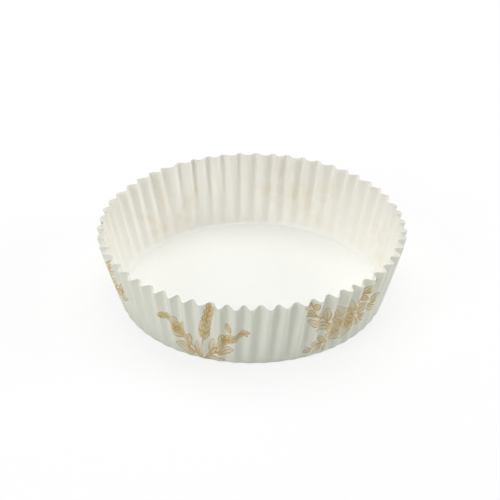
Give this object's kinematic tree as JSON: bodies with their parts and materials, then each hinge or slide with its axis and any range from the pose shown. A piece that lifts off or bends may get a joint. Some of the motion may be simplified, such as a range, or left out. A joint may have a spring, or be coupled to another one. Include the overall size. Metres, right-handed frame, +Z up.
{
  "type": "cupcake liner",
  "caption": "Wide, shallow baking case pleated from one round sheet of greaseproof paper, with a flat floor and a fluted wall that leans outwards to a zigzag rim.",
  "frame": {"origin": "middle of the floor's underside, on the surface that the case stands on", "axes": "+Z up along the case's axis of symmetry; +X, -X, +Y and -Y each pass through an outward fold"},
  "size_m": [0.0956, 0.0956, 0.0239],
  "materials": {
    "printed_paper": "matt greaseproof paper, off-white, with a tan print on the outside of the wall"
  },
  "bodies": {
    "root": {"pleated_liner": "printed_paper"}
  },
  "joints": []
}
